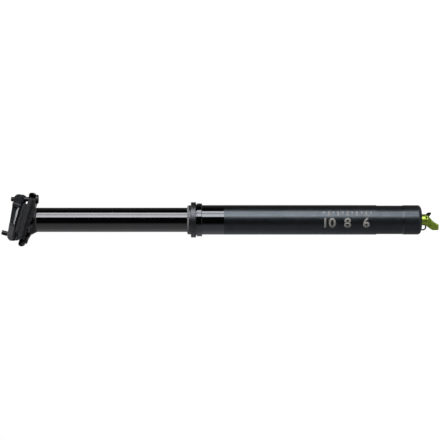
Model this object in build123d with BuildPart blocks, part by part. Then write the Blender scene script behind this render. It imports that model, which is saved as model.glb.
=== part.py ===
from build123d import *
import os
from math import cos, radians, sin, sqrt

# Dropper seatpost for a bicycle, in millimetres, drawn at full height.
# The post's axis is Z, the saddle end is up and the front of the bicycle is +X.
# The origin is on the axis, at the shoulder that rests on the frame's seat tube.

# Outer tube: the part that the frame clamps
tube_room = 1.0
tube_wall = 1.8
insert_length = 186.4
waist_cut = 0.5
waist_length = 27.3
foot_cut = 0.075
foot_taper = 1.9
foot_length = 4.6
flange_stand = 1.875
flange_height = 5.5
flange_round = 0.5
neck_wall = 1.2
neck_height = 9.3
bushing_seat = 0.6
foam_seat = 0.7
keyway_depth = 0.7
key_count = 3

# Moving stanchion: the tube that slides
stanchion_diameter = 26.0
stanchion_wall = 1.4
stanchion_top = 176.5
stanchion_below = 56.0
travel = 150.0

# Clearances and the overrun of every cut
running_gap = 0.05
seat_gap = 0.02
soft_gap = 0.1
stop_gap = 0.2
overrun = 2.0

# Collar and wiper
collar_wall = 2.4
collar_bottom = 6.43
collar_height = 5.35
collar_chamfer = 0.45
collar_web = 1.4
collar_lip_wall = 1.0
collar_lip_height = 2.0
wiper_stem = 1.5
wiper_foot_height = 0.9
wiper_foot_room = 0.2
wiper_lip_stand = 1.0
wiper_lip_height = 1.9
wiper_lip_chamfer = 0.55

# Plain bearings and guide keys
bushing_depth = 14.0
foam_height = 2.9
lower_bushing_length = 15.0
lower_bushing_up = 2.0
lower_bushing_inset = 0.4
lower_bushing_split = 2.0
key_length = 12.0
key_width = 2.5
key_seat_depth = 0.9
key_up = 20.0
keyway_below = 20.0

# Gas cartridge inside the stanchion
cartridge_room = 0.6
cartridge_wall = 1.5
cartridge_nut_height = 4.0
cartridge_nut_bore = 11.0
cartridge_flange = 2.0
seal_head_height = 9.0
seal_head_bore_gap = 0.2
rod_diameter = 8.0
rod_bore = 3.4
rod_stem_diameter = 5.6
rod_stem_length = 8.0
rod_foot_diameter = 7.2
rod_foot_length = 7.0
piston_height = 10.0
bumper_height = 5.0
bumper_wall = 3.0
floating_height = 8.0
floating_above = 2.0
plug_height = 8.0
seal_section = 1.6
seal_ring_section = 1.4
valve_pin_diameter = 2.4
valve_head_diameter = 3.0
valve_head_height = 1.5

# Bottom cap
cap_spigot = 10.0
cap_spigot_wall = 2.4
cap_floor_drop = 3.7
cap_length = 16.7
cap_dome_height = 4.0
cap_dome_width = 6.8
cap_shank_depth = 6.0

# Head: the forging that the saddle clamp rocks on
head_spigot = 13.5
head_spigot_wall = 3.6
head_spigot_cap = 2.5
head_side = 0.5
head_rear = 16.6
head_front = 20.0
head_flare_height = 7.2
head_shelf_rise = 1.6
head_lip = 1.6
lug_width = 16.0
lug_thickness = 6.5
lug_overhang = 6.9
rear_lug_thickness = 5.2
rear_lug_overhang = 8.7
rear_lug_inner = 5.2
lug_round = 2.6
bolt_slot_width = 5.5
bolt_slot_length = 7.6

# Saddle clamp, drawn along the rails: u runs forward and n points up from the rails
rail_diameter = 7.0
rail_spacing = 44.0
rail_rise = 18.36
rail_tilt = 16.0
clamp_gap = 1.4
cradle_front = 26.0
cradle_rear = 18.8
cradle_width = 54.0
cradle_depth = 8.8
cradle_round = 1.6
lip_front = 18.6
lip_depth = 5.1
lip_groove = 1.9
lip_groove_depth = 1.2
belly_radius = 20.0
belly_ahead = 6.4
belly_depth = 13.5
belly_width = 34.0
ridge_depth = 11.6
ridge_width = 3.2
notch_width = 18.0
notch_start = 10.8
head_clear_depth = 12.2
head_front_depth = 10.7
plate_inner = 13.0
plate_round = 0.7
lobe_radius = 5.2
lobe_gap = 0.7
lobe_face = 19.5
grip_front = 16.4
web_face = 23.4
ledge_foot = 2.1
ledge_crest = 4.3
recess_front = 12.9
recess_behind = 5.6

# Clamp bolts, barrel nuts and half-barrel washers
front_nut_ahead = 21.4
front_nut_above = 5.6
rear_nut_behind = 18.1
rear_nut_above = 0.9
nut_diameter = 8.0
nut_length = 35.0
nut_hole = 5.5
nut_end_gap = 0.4
bolt_diameter = 5.0
bolt_head_diameter = 9.6
bolt_head_height = 3.1
bolt_socket = 4.0
bolt_socket_depth = 2.0
bolt_shank = 26.3
bolt_tip_chamfer = 0.6
front_bolt_reach = 16.1
rear_bolt_reach = 11.9
rear_bolt_tilt = 16.0
washer_radius = 5.0
washer_sink = 2.0
washer_width = 10.0

# Actuator under the cap
clevis_diameter = 11.3
clevis_length = 7.0
clevis_shank = 9.0
clevis_slot_width = 5.1
clevis_slot_rise = 0.2
clevis_flat = 4.6
clevis_chamfer = 0.5
pivot_ahead = 2.6
pivot_drop = 4.9
pivot_diameter = 2.5
pivot_head_diameter = 4.0
pivot_head_height = 0.8
lever_side_gap = 0.1
lever_hub = 2.85
lever_reach = 13.7
lever_angle = 48.0
lever_arm_angle = 33.5
lever_width = 8.3
lever_thickness = 8.0
lever_round = 1.4
lever_block = 5.0
lever_shoulder = 2.4
lever_tip_width = 6.9
lever_tip_round = 1.6
housing_diameter = 5.1
housing_depth = 5.2
wire_diameter = 1.8
housing_angle = 2.0
bracket_thickness = 1.4
hook_radius = 3.3
hook_width = 1.5
hook_behind = 7.4
hook_drop = 1.8
fin_root = 2.8
plate_reach = 6.0
fin_reach = 8.0
fin_rise = 2.6
fin_drop = 6.0
fin_edge = 1.6

# Diameters worked outwards from the stanchion, and places, from the sizes above
tube_bore = stanchion_diameter + 2 * tube_room
post_diameter = tube_bore + 2 * tube_wall
waist_diameter = post_diameter - 2 * waist_cut
foot_diameter = post_diameter - 2 * foot_cut
flange_diameter = post_diameter + 2 * flange_stand
bushing_bore = tube_bore + 2 * bushing_seat
foam_bore = bushing_bore + 2 * foam_seat
neck_diameter = foam_bore + 2 * neck_wall
collar_diameter = neck_diameter + 2 * collar_wall
stem_diameter = stanchion_diameter + 2 * wiper_stem
collar_lip_diameter = stem_diameter + 2 * (soft_gap + collar_lip_wall)
wiper_lip_diameter = stem_diameter + 2 * wiper_lip_stand
wiper_foot_diameter = neck_diameter - 2 * wiper_foot_room
head_width = stanchion_diameter + 2 * head_side
belly_above = belly_radius - belly_depth
post_radius = post_diameter / 2
stanchion_foot = -stanchion_below
keyway_top = -keyway_below
stanchion_radius = stanchion_diameter / 2
stanchion_bore = stanchion_radius - stanchion_wall
bore_radius = tube_bore / 2
step_z = -insert_length
waist_end = step_z - waist_length
tube_end = waist_end - foot_length
cap_end = tube_end - cap_length
collar_top = collar_bottom + collar_height
lip_base = collar_top + collar_lip_height
cartridge_base = stanchion_foot + cartridge_nut_height + cartridge_flange
cartridge_radius = stanchion_bore - cartridge_room - cartridge_wall
cartridge_bore = 2 * cartridge_radius
head_spigot_bore = 2 * (stanchion_bore - head_spigot_wall)
seal_head_top = cartridge_base + seal_head_height
piston_base = seal_head_top + bumper_height + stop_gap
piston_top = piston_base + piston_height
float_travel = travel * (rod_diameter / cartridge_bore) ** 2
float_base = piston_top + travel + floating_above - float_travel
cartridge_top = stanchion_top - head_spigot - cartridge_flange
cap_floor = tube_end - cap_floor_drop
flange_ring_radius = stanchion_bore - running_gap


def turn(*outline):
    """Revolve a half outline of (radius, height) points about the post's axis."""
    with BuildSketch(Plane.XZ) as half:
        with BuildLine():
            Polyline(*outline, close=True)
        make_face()
    revolve(half.sketch, axis=Axis.Z)


def ring(inner, outer, low, high):
    """Make a plain ring between two radii and two heights."""
    turn((inner, low), (outer, low), (outer, high), (inner, high))


def round_ring(middle, section, height):
    """Make a ring of round section, such as an O-ring."""
    with BuildSketch(Plane.XZ) as half:
        with Locations((middle, height)):
            Circle(section / 2)
    revolve(half.sketch, axis=Axis.Z)


def finish(piece, label):
    """Name a finished piece and write it as its own file."""
    piece.part.label = label
    export_step(piece.part, f"parts/{label}.step")


os.makedirs("parts", exist_ok=True)

# Outer tube: turned and drawn, with a flange, a threaded neck, a waist and three keyways
with BuildPart() as outer_tube:
    turn(
        (bore_radius, tube_end),
        (foot_diameter / 2, tube_end),
        (foot_diameter / 2, waist_end - foot_taper),
        (waist_diameter / 2, waist_end),
        (waist_diameter / 2, step_z),
        (post_radius, step_z),
        (post_radius, 0),
        (flange_diameter / 2, 0),
        (flange_diameter / 2, flange_height),
        (neck_diameter / 2, flange_height),
        (neck_diameter / 2, neck_height),
        (foam_bore / 2, neck_height),
        (foam_bore / 2, neck_height - foam_height - soft_gap),
        (bushing_bore / 2, neck_height - foam_height - soft_gap),
        (bushing_bore / 2, -bushing_depth),
        (bore_radius, -bushing_depth),
    )
    rim = outer_tube.edges().filter_by(GeomType.CIRCLE)
    fillet(rim.group_by(SortBy.RADIUS)[-1], flange_round)
    with BuildSketch(Plane.XY.offset(tube_end)):
        with PolarLocations(bore_radius, key_count):
            Rectangle(2 * keyway_depth, key_width + 2 * running_gap)
    extrude(amount=keyway_top - tube_end, mode=Mode.SUBTRACT)
finish(outer_tube, "outer_tube")

# Seal collar: ring nut on the tube's neck, with a web over the wiper's foot
with BuildPart() as seal_collar:
    stem_radius = stanchion_radius + wiper_stem + soft_gap
    turn(
        (neck_diameter / 2 + seat_gap, collar_bottom),
        (collar_diameter / 2 - collar_chamfer, collar_bottom),
        (collar_diameter / 2, collar_bottom + collar_chamfer),
        (collar_diameter / 2, collar_top - collar_chamfer),
        (collar_diameter / 2 - collar_chamfer, collar_top),
        (collar_lip_diameter / 2, collar_top),
        (collar_lip_diameter / 2, lip_base),
        (stem_radius, lip_base),
        (stem_radius, collar_top - collar_web),
        (neck_diameter / 2 + seat_gap, collar_top - collar_web),
    )
finish(seal_collar, "seal_collar")

# Wiper seal: foot held by the collar, stem, and the lip that stands out on top
with BuildPart() as wiper_seal:
    foot_top = collar_top - collar_web - seat_gap
    wipe = stanchion_radius + running_gap
    turn(
        (wipe, foot_top - wiper_foot_height),
        (wiper_foot_diameter / 2, foot_top - wiper_foot_height),
        (wiper_foot_diameter / 2, foot_top),
        (stanchion_radius + wiper_stem, foot_top),
        (stanchion_radius + wiper_stem, lip_base + seat_gap),
        (wiper_lip_diameter / 2, lip_base + seat_gap),
        (wiper_lip_diameter / 2, lip_base + wiper_lip_height - wiper_lip_chamfer),
        (wiper_lip_diameter / 2 - wiper_lip_chamfer, lip_base + wiper_lip_height),
        (wipe, lip_base + wiper_lip_height),
    )
finish(wiper_seal, "wiper_seal")

# Foam ring: holds oil under the wiper
with BuildPart() as foam_ring:
    ring(
        stanchion_radius + soft_gap,
        foam_bore / 2 - soft_gap,
        neck_height - foam_height,
        neck_height - soft_gap,
    )
finish(foam_ring, "foam_ring")

# Upper bushing: plain bearing in the tube's mouth
with BuildPart() as upper_bushing:
    ring(
        stanchion_radius + running_gap,
        bushing_bore / 2 - seat_gap,
        -bushing_depth + seat_gap,
        neck_height - foam_height - soft_gap,
    )
finish(upper_bushing, "upper_bushing")

# Stanchion: hard-coated tube with key pockets and a groove for the lower bushing
bushing_base = stanchion_foot + lower_bushing_up
bushing_top = bushing_base + lower_bushing_length
key_base = stanchion_foot + key_up
with BuildPart() as stanchion:
    turn(
        (stanchion_bore, stanchion_foot),
        (stanchion_radius, stanchion_foot),
        (stanchion_radius, bushing_base),
        (stanchion_radius - lower_bushing_inset, bushing_base),
        (stanchion_radius - lower_bushing_inset, bushing_top),
        (stanchion_radius, bushing_top),
        (stanchion_radius, stanchion_top),
        (stanchion_bore, stanchion_top),
    )
    with BuildSketch(Plane.XY.offset(key_base)):
        with PolarLocations(stanchion_radius, key_count):
            Rectangle(2 * key_seat_depth, key_width + 2 * seat_gap)
    extrude(amount=key_length, mode=Mode.SUBTRACT)
finish(stanchion, "stanchion")

# Lower bushing: split ring in the stanchion's groove
with BuildPart() as lower_bushing:
    ring(
        stanchion_radius - lower_bushing_inset + seat_gap,
        bore_radius - running_gap,
        bushing_base + seat_gap,
        bushing_top - seat_gap,
    )
    with BuildSketch(Plane.XY.offset(bushing_base)):
        with Locations((-bore_radius, 0)):
            Rectangle(2 * lower_bushing_split, lower_bushing_split)
    extrude(amount=lower_bushing_length, mode=Mode.SUBTRACT)
finish(lower_bushing, "lower_bushing")

# Guide keys: three brass bars that run in the tube's keyways
with BuildPart() as guide_keys:
    key_floor = stanchion_radius - key_seat_depth + seat_gap
    key_crest = bore_radius + keyway_depth - 2 * running_gap
    with BuildSketch(Plane.XY.offset(key_base + seat_gap)):
        with PolarLocations((key_floor + key_crest) / 2, key_count):
            Rectangle(key_crest - key_floor, key_width)
    extrude(amount=key_length - 2 * seat_gap)
finish(guide_keys, "guide_keys")

# Cartridge nut: ring with two spanner holes that holds the cartridge in the stanchion
with BuildPart() as cartridge_nut:
    ring(
        cartridge_nut_bore / 2,
        flange_ring_radius,
        stanchion_foot,
        stanchion_foot + cartridge_nut_height,
    )
    with BuildSketch(Plane.XY.offset(stanchion_foot)):
        with PolarLocations((cartridge_nut_bore / 2 + flange_ring_radius) / 2, 2):
            Circle(valve_pin_diameter / 2)
    extrude(amount=cartridge_nut_height / 2, mode=Mode.SUBTRACT)
finish(cartridge_nut, "cartridge_nut")

# Cartridge tube: steel cylinder for oil and gas
with BuildPart() as cartridge_tube:
    ring(cartridge_radius, cartridge_radius + cartridge_wall, cartridge_base, cartridge_top)
finish(cartridge_tube, "cartridge_tube")

# Seal head: closes the cylinder round the rod, with a flange on the ring nut
seal_groove = cartridge_base + seal_head_height / 2
seal_depth = seal_section / 2
with BuildPart() as seal_head:
    ring(
        rod_diameter / 2 + seal_head_bore_gap,
        cartridge_radius - seat_gap,
        cartridge_base,
        seal_head_top,
    )
    ring(
        rod_diameter / 2 + seal_head_bore_gap,
        flange_ring_radius,
        cartridge_base - cartridge_flange,
        cartridge_base,
    )
    with BuildSketch(Plane.XZ):
        with Locations((rod_diameter / 2, seal_groove), (cartridge_radius, seal_groove)):
            Rectangle(2 * (seal_section + seat_gap), seal_section + 2 * soft_gap)
    revolve(axis=Axis.Z, mode=Mode.SUBTRACT)
finish(seal_head, "seal_head")

# Rod seal and the seal head's outer ring
with BuildPart() as rod_seal:
    ring(
        rod_diameter / 2 + running_gap,
        rod_diameter / 2 + seal_section,
        seal_groove - seal_depth,
        seal_groove + seal_depth,
    )
finish(rod_seal, "rod_seal")

with BuildPart() as seal_head_ring:
    round_ring(cartridge_radius - seal_depth - seat_gap, seal_section, seal_groove)
finish(seal_head_ring, "seal_head_ring")

# Cartridge plug: closed top of the cylinder, under the head's spigot
with BuildPart() as cartridge_plug:
    ring(0, cartridge_radius - seat_gap, cartridge_top - plug_height, cartridge_top)
    ring(0, flange_ring_radius, cartridge_top, cartridge_top + cartridge_flange)
finish(cartridge_plug, "cartridge_plug")

# Floating piston with its ring: parts oil from gas
float_middle = float_base + floating_height / 2
with BuildPart() as floating_piston:
    ring(0, cartridge_radius - running_gap, float_base, float_base + floating_height)
    with BuildSketch(Plane.XZ):
        with Locations((cartridge_radius, float_middle)):
            Rectangle(2 * (seal_section + soft_gap), seal_section + 2 * soft_gap)
    revolve(axis=Axis.Z, mode=Mode.SUBTRACT)
    with BuildSketch(Plane.XY.offset(float_base)):
        Circle(rod_diameter / 2)
    extrude(amount=floating_height / 2, mode=Mode.SUBTRACT)
finish(floating_piston, "floating_piston")

with BuildPart() as floating_seal:
    round_ring(cartridge_radius - seal_depth - running_gap, seal_section, float_middle)
finish(floating_seal, "floating_seal")

# Bottom cap: threaded spigot with a ring groove, a floor for the rod, and a domed end
cap_radius = foot_diameter / 2
spigot_radius = bore_radius - seat_gap
cap_ring_z = tube_end + cap_spigot / 2
shank_radius = clevis_shank / 2
with BuildPart() as bottom_cap:
    with BuildSketch(Plane.XZ):
        with BuildLine():
            Polyline(
                (spigot_radius - cap_spigot_wall, cap_floor),
                (spigot_radius - cap_spigot_wall, tube_end + cap_spigot),
                (spigot_radius, tube_end + cap_spigot),
                (spigot_radius, tube_end),
                (cap_radius, tube_end),
                (cap_radius, cap_end + cap_dome_height),
            )
            EllipticalCenterArc(
                (cap_radius - cap_dome_width, cap_end + cap_dome_height),
                cap_dome_width,
                cap_dome_height,
                start_angle=-90,
                arc_size=90,
            )
            Polyline(
                (cap_radius - cap_dome_width, cap_end),
                (shank_radius + seat_gap, cap_end),
                (shank_radius + seat_gap, cap_end + cap_shank_depth),
                (rod_foot_diameter / 2 + seat_gap, cap_end + cap_shank_depth),
                (rod_foot_diameter / 2 + seat_gap, cap_floor),
                (spigot_radius - cap_spigot_wall, cap_floor),
            )
        make_face()
    revolve(axis=Axis.Z)
    with BuildSketch(Plane.XZ):
        with Locations((spigot_radius, cap_ring_z)):
            Rectangle(2 * seal_ring_section, seal_ring_section + 2 * soft_gap)
    revolve(axis=Axis.Z, mode=Mode.SUBTRACT)
finish(bottom_cap, "bottom_cap")

with BuildPart() as cap_ring:
    round_ring(spigot_radius - seal_ring_section / 2, seal_ring_section, cap_ring_z)
finish(cap_ring, "cap_ring")

# Piston rod: hollow, shouldered on the cap's floor and under the piston
with BuildPart() as piston_rod:
    turn(
        (rod_bore / 2, cap_floor - rod_foot_length),
        (rod_foot_diameter / 2, cap_floor - rod_foot_length),
        (rod_foot_diameter / 2, cap_floor),
        (rod_diameter / 2, cap_floor),
        (rod_diameter / 2, piston_base),
        (rod_stem_diameter / 2, piston_base),
        (rod_stem_diameter / 2, piston_base + rod_stem_length),
        (rod_bore / 2, piston_base + rod_stem_length),
    )
finish(piston_rod, "piston_rod")

# Main piston: screwed on the rod, with a seal groove and a port over the valve pin
piston_middle = piston_base + piston_height / 2
with BuildPart() as main_piston:
    turn(
        (rod_stem_diameter / 2 + seat_gap, piston_base),
        (cartridge_radius - running_gap, piston_base),
        (cartridge_radius - running_gap, piston_top),
        (rod_bore / 2, piston_top),
        (rod_bore / 2, piston_base + rod_stem_length),
        (rod_stem_diameter / 2 + seat_gap, piston_base + rod_stem_length),
    )
    with BuildSketch(Plane.XZ):
        with Locations((cartridge_radius, piston_middle)):
            Rectangle(2 * (seal_section + soft_gap), seal_section + 2 * soft_gap)
    revolve(axis=Axis.Z, mode=Mode.SUBTRACT)
finish(main_piston, "main_piston")

with BuildPart() as piston_seal:
    round_ring(cartridge_radius - seal_depth - running_gap, seal_section, piston_middle)
finish(piston_seal, "piston_seal")

# Top-out bumper: rubber ring under the piston, on the rod
with BuildPart() as topout_bumper:
    ring(
        rod_diameter / 2 + seat_gap,
        rod_diameter / 2 + bumper_wall,
        piston_base - bumper_height,
        piston_base,
    )
finish(topout_bumper, "topout_bumper")

# Clamp frame: places given as (u, n) turn into the post's own X and Z
tilt = radians(rail_tilt)
forward = Vector(cos(tilt), 0, -sin(tilt))
upward = Vector(sin(tilt), 0, cos(tilt))
rail_centre = Vector(0, 0, stanchion_top + rail_rise)
clamp_plane = Plane(origin=rail_centre, x_dir=forward, z_dir=(0, -1, 0))


def on_clamp(along, above):
    """Turn a place in the clamp frame into one in the post's mid-plane."""
    return rail_centre + forward * along + upward * above


rock_centre = on_clamp(belly_ahead, belly_above)
front_nut_centre = on_clamp(front_nut_ahead, front_nut_above)
rear_nut_centre = on_clamp(-rear_nut_behind, rear_nut_above)
rear_tilt = radians(rear_bolt_tilt)
front_aim = Vector(0, 0, 1)
rear_aim = Vector(sin(rear_tilt), 0, cos(rear_tilt))
front_seat = front_nut_centre - front_aim * front_bolt_reach
rear_seat = rear_nut_centre - rear_aim * rear_bolt_reach
front_seat_plane = Plane(origin=front_seat, x_dir=(1, 0, 0), z_dir=front_aim)
rear_side = Vector(cos(rear_tilt), 0, -sin(rear_tilt))
rear_seat_plane = Plane(origin=rear_seat, x_dir=rear_side, z_dir=rear_aim)
seat_planes = {"front": front_seat_plane, "rear": rear_seat_plane}


def place(point):
    """Give a point of the mid-plane as sketch coordinates on Plane.XZ."""
    return (point.X, point.Z)


# Seat head: forged body with a hollow spigot, a rocker seat and two bolt lugs
with BuildPart() as seat_head:
    with BuildSketch(Plane.XZ):
        with BuildLine():
            Polyline(
                (-stanchion_radius, stanchion_top),
                (stanchion_radius, stanchion_top),
                (stanchion_radius, stanchion_top + head_shelf_rise),
                (head_front, stanchion_top + head_shelf_rise),
                place(on_clamp(head_front + head_lip, -head_front_depth)),
                place(on_clamp(-belly_ahead, -head_front_depth)),
                place(on_clamp(-belly_ahead, -head_clear_depth)),
                place(on_clamp(-head_rear, -head_clear_depth)),
                (-head_rear, stanchion_top + head_flare_height),
                close=True,
            )
        make_face()
    extrude(amount=head_width / 2, both=True)
    with BuildSketch(Plane.XY.offset(stanchion_top)):
        SlotOverall(2 * head_front + head_width, head_width)
    extrude(amount=head_front, mode=Mode.INTERSECT)
    with BuildSketch(Plane.XZ):
        Polygon(
            place(front_seat + Vector(lug_overhang, 0, 0)),
            place(front_seat + Vector(lug_overhang, 0, lug_thickness)),
            (stanchion_radius, (front_seat.Z + lug_thickness)),
            (stanchion_radius, front_seat.Z),
            align=None,
        )
    extrude(amount=lug_width / 2, both=True)
    with BuildSketch(Plane.XZ):
        Polygon(
            place(rear_seat - rear_side * rear_lug_overhang),
            place(rear_seat - rear_side * rear_lug_overhang + rear_aim * rear_lug_thickness),
            place(rear_seat + rear_side * rear_lug_inner + rear_aim * rear_lug_thickness),
            place(rear_seat + rear_side * rear_lug_inner),
            (-head_rear, stanchion_top + head_flare_height),
            align=None,
        )
    extrude(amount=lug_width / 2, both=True)
    lug_ends = seat_head.edges().filter_by(Axis.Y)
    fillet(lug_ends.sort_by(Axis.X)[:2] + lug_ends.sort_by(Axis.X)[-2:], lug_round)
    with BuildSketch(Plane.XZ):
        with Locations(place(rock_centre)):
            Circle(belly_radius + running_gap)
    extrude(amount=head_width, both=True, mode=Mode.SUBTRACT)
    for plane in seat_planes.values():
        with BuildSketch(plane.offset(-overrun)):
            SlotOverall(bolt_slot_length, bolt_slot_width)
        extrude(amount=2 * lug_thickness + overrun, mode=Mode.SUBTRACT)
        pocket_centre = plane.origin - plane.z_dir * washer_sink
        with BuildSketch(Plane.XZ):
            with Locations(place(pocket_centre)):
                Circle(washer_radius + running_gap)
        extrude(amount=washer_width / 2 + running_gap, both=True, mode=Mode.SUBTRACT)
    ring(
        0,
        stanchion_bore - seat_gap,
        stanchion_top - head_spigot,
        stanchion_top,
    )
    with BuildSketch(Plane.XY.offset(stanchion_top - head_spigot)):
        Circle(head_spigot_bore / 2)
    extrude(amount=head_spigot - head_spigot_cap, mode=Mode.SUBTRACT)
finish(seat_head, "seat_head")

# Rail cradle: lower clamp with a round belly, two rail grooves, a lip and two bolt notches
half_gap = clamp_gap / 2
rail_axis_plane = Plane(origin=rail_centre, x_dir=(0, 1, 0), z_dir=forward)
with BuildPart() as rail_cradle:
    with BuildSketch(clamp_plane):
        with Locations(((cradle_front - cradle_rear) / 2, -(cradle_depth + lip_depth) / 2)):
            Rectangle(cradle_front + cradle_rear, cradle_depth - lip_depth)
        with Locations(((lip_front - cradle_rear) / 2, -(lip_depth + half_gap) / 2)):
            Rectangle(lip_front + cradle_rear, lip_depth - half_gap)
        with Locations((-rear_nut_behind, rear_nut_above)):
            Circle(lobe_radius + lobe_gap, mode=Mode.SUBTRACT)
        with Locations((-rear_nut_behind - belly_radius / 2, -lip_depth / 2)):
            Rectangle(belly_radius, lip_depth, mode=Mode.SUBTRACT)
    extrude(amount=cradle_width / 2, both=True)
    crosswise = rail_cradle.edges().filter_by(Axis.Y)
    fillet(crosswise.sort_by(Axis.X)[-4:], cradle_round)
    for side in (-1, 1):
        with BuildSketch(clamp_plane.offset(side * cradle_width / 2)):
            with Locations((0, lip_groove / 2 - lip_depth)):
                Rectangle(2 * cradle_front, lip_groove)
        extrude(amount=-side * lip_groove_depth, mode=Mode.SUBTRACT)
    with BuildSketch(clamp_plane):
        with Locations((belly_ahead, belly_above)):
            Circle(belly_radius)
        with Locations((0, belly_radius - cradle_depth)):
            Rectangle(4 * belly_radius, 2 * belly_radius, mode=Mode.SUBTRACT)
    extrude(amount=belly_width / 2, both=True)
    for side in (-1, 1):
        with BuildSketch(clamp_plane.offset(side * belly_width / 2)):
            with Locations(((cradle_front - cradle_rear) / 2, -(cradle_depth + ridge_depth) / 2)):
                Rectangle(cradle_front + cradle_rear, ridge_depth - cradle_depth)
        extrude(amount=-side * ridge_width)
    for side in (-1, 1):
        with BuildSketch(clamp_plane):
            with Locations((side * (notch_start + belly_radius / 2), -belly_radius / 2)):
                Rectangle(belly_radius, belly_radius)
        extrude(amount=notch_width / 2, both=True, mode=Mode.SUBTRACT)
    with BuildSketch(rail_axis_plane):
        with Locations((-rail_spacing / 2, 0), (rail_spacing / 2, 0)):
            Circle(rail_diameter / 2)
    extrude(amount=2 * cradle_front, both=True, mode=Mode.SUBTRACT)
finish(rail_cradle, "rail_cradle")

# Clamp plates: upper clamps with a lobe for each barrel nut and a grip over the rail
lobe_places = ((front_nut_ahead, front_nut_above), (-rear_nut_behind, rear_nut_above))
half_width = cradle_width / 2
for side, name in ((1, "clamp_plate_right"), (-1, "clamp_plate_left")):
    inner_plane = clamp_plane.offset(side * plate_inner)
    with BuildPart() as clamp_plate:
        with BuildSketch(inner_plane):
            with Locations(*lobe_places):
                Circle(lobe_radius)
            make_hull()
            with Locations((0, half_gap - half_width)):
                Rectangle(2 * cradle_width, cradle_width, mode=Mode.SUBTRACT)
        extrude(amount=side * (half_width - plate_inner))
        with BuildSketch(clamp_plane.offset(side * lobe_face)):
            with Locations((grip_front + half_width, 0)):
                Rectangle(cradle_width, cradle_width)
        extrude(amount=side * half_width, mode=Mode.SUBTRACT)
        outer_rim = clamp_plate.faces().sort_by(Axis.Y)[0 if side > 0 else -1]
        fillet(outer_rim.edges(), plate_round)
        with BuildSketch(rail_axis_plane.offset(-recess_behind)):
            Polygon(
                (-side * half_width, ledge_foot),
                (-side * web_face, ledge_crest),
                (-side * web_face, half_width),
                (-side * cradle_width, half_width),
                (-side * cradle_width, ledge_foot),
                align=None,
            )
        extrude(amount=recess_front + recess_behind, mode=Mode.SUBTRACT)
        with BuildSketch(inner_plane):
            with Locations(lobe_places[-1]):
                Circle(lobe_radius)
        extrude(amount=side * (lobe_face - plate_inner))
        with BuildSketch(inner_plane):
            with Locations(*lobe_places):
                Circle(nut_diameter / 2 + running_gap)
        bore_depth = nut_length / 2 + nut_end_gap - plate_inner
        extrude(amount=side * bore_depth, mode=Mode.SUBTRACT)
        with BuildSketch(rail_axis_plane):
            with Locations((-side * rail_spacing / 2, 0)):
                Circle(rail_diameter / 2)
        extrude(amount=2 * cradle_front, both=True, mode=Mode.SUBTRACT)
    finish(clamp_plate, name)


def barrel_nut(centre, aim, label):
    """Make a cross nut with a hole along its bolt, and name it."""
    with BuildPart() as nut:
        with BuildSketch(Plane.XZ):
            with Locations(place(centre)):
                Circle(nut_diameter / 2)
        extrude(amount=nut_length / 2, both=True)
        with BuildSketch(Plane(origin=centre, z_dir=aim)):
            Circle(nut_hole / 2)
        extrude(amount=nut_diameter, both=True, mode=Mode.SUBTRACT)
    finish(nut, label)


def clamp_bolt(plane, label):
    """Make a socket-head bolt that stands on a washer's flat, and name it."""
    with BuildPart() as bolt:
        with BuildSketch(plane.offset(-bolt_head_height)):
            Circle(bolt_head_diameter / 2)
        extrude(amount=bolt_head_height)
        fillet(bolt.edges().filter_by(GeomType.CIRCLE), bolt_tip_chamfer)
        with BuildSketch(plane.offset(-bolt_head_height)):
            RegularPolygon(bolt_socket / 2, 6, major_radius=False)
        extrude(amount=bolt_socket_depth, mode=Mode.SUBTRACT)
        with BuildSketch(plane.offset(-bolt_head_height + bolt_socket_depth)):
            Circle(bolt_diameter / 2)
        extrude(amount=bolt_shank + bolt_head_height - bolt_socket_depth)
        tip = bolt.edges().filter_by(GeomType.CIRCLE).sort_by(Axis.Z)[-1]
        chamfer(tip, bolt_tip_chamfer)
    finish(bolt, label)


def half_washer(plane, label):
    """Make a half-barrel washer: flat under the head, round in the lug, and name it."""
    pocket_centre = plane.origin - plane.z_dir * washer_sink
    half_chord = sqrt(washer_radius**2 - washer_sink**2)
    with BuildPart() as washer:
        with BuildSketch(Plane.XZ):
            with Locations(place(pocket_centre)):
                Circle(washer_radius)
        extrude(amount=washer_width / 2, both=True)
        split(bisect_by=plane, keep=Keep.TOP)
        with BuildSketch(plane):
            Circle(bolt_diameter / 2 + seat_gap)
        extrude(amount=2 * half_chord, mode=Mode.SUBTRACT)
    finish(washer, label)


barrel_nut(front_nut_centre, front_aim, "front_barrel_nut")
barrel_nut(rear_nut_centre, rear_aim, "rear_barrel_nut")
for end, plane in seat_planes.items():
    clamp_bolt(plane, f"{end}_bolt")
    half_washer(plane, f"{end}_washer")

# Actuator clevis: green turned stub, slotted for the lever, with a flat for the bracket
clevis_end = cap_end - clevis_length
slot_floor = cap_end - clevis_slot_rise
pivot = Vector(pivot_ahead, 0, cap_end - pivot_drop)
with BuildPart() as actuator_clevis:
    turn(
        (valve_pin_diameter / 2 + soft_gap, clevis_end),
        (clevis_diameter / 2 - clevis_chamfer, clevis_end),
        (clevis_diameter / 2, clevis_end + clevis_chamfer),
        (clevis_diameter / 2, cap_end),
        (shank_radius, cap_end),
        (shank_radius, cap_end + cap_shank_depth - seat_gap),
        (valve_pin_diameter / 2 + soft_gap, cap_end + cap_shank_depth - seat_gap),
    )
    with BuildSketch(Plane.XY.offset(slot_floor)):
        Rectangle(2 * clevis_diameter, clevis_slot_width)
    extrude(amount=-2 * clevis_length, mode=Mode.SUBTRACT)
    with BuildSketch(Plane.XY.offset(cap_end)):
        with Locations((0, clevis_flat + clevis_diameter / 2)):
            Rectangle(2 * clevis_diameter, clevis_diameter)
    extrude(amount=-2 * clevis_length, mode=Mode.SUBTRACT)
    with BuildSketch(Plane.XZ):
        with Locations(place(pivot)):
            Circle(pivot_diameter / 2 + seat_gap)
    extrude(amount=clevis_diameter, both=True, mode=Mode.SUBTRACT)
finish(actuator_clevis, "actuator_clevis")

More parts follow.
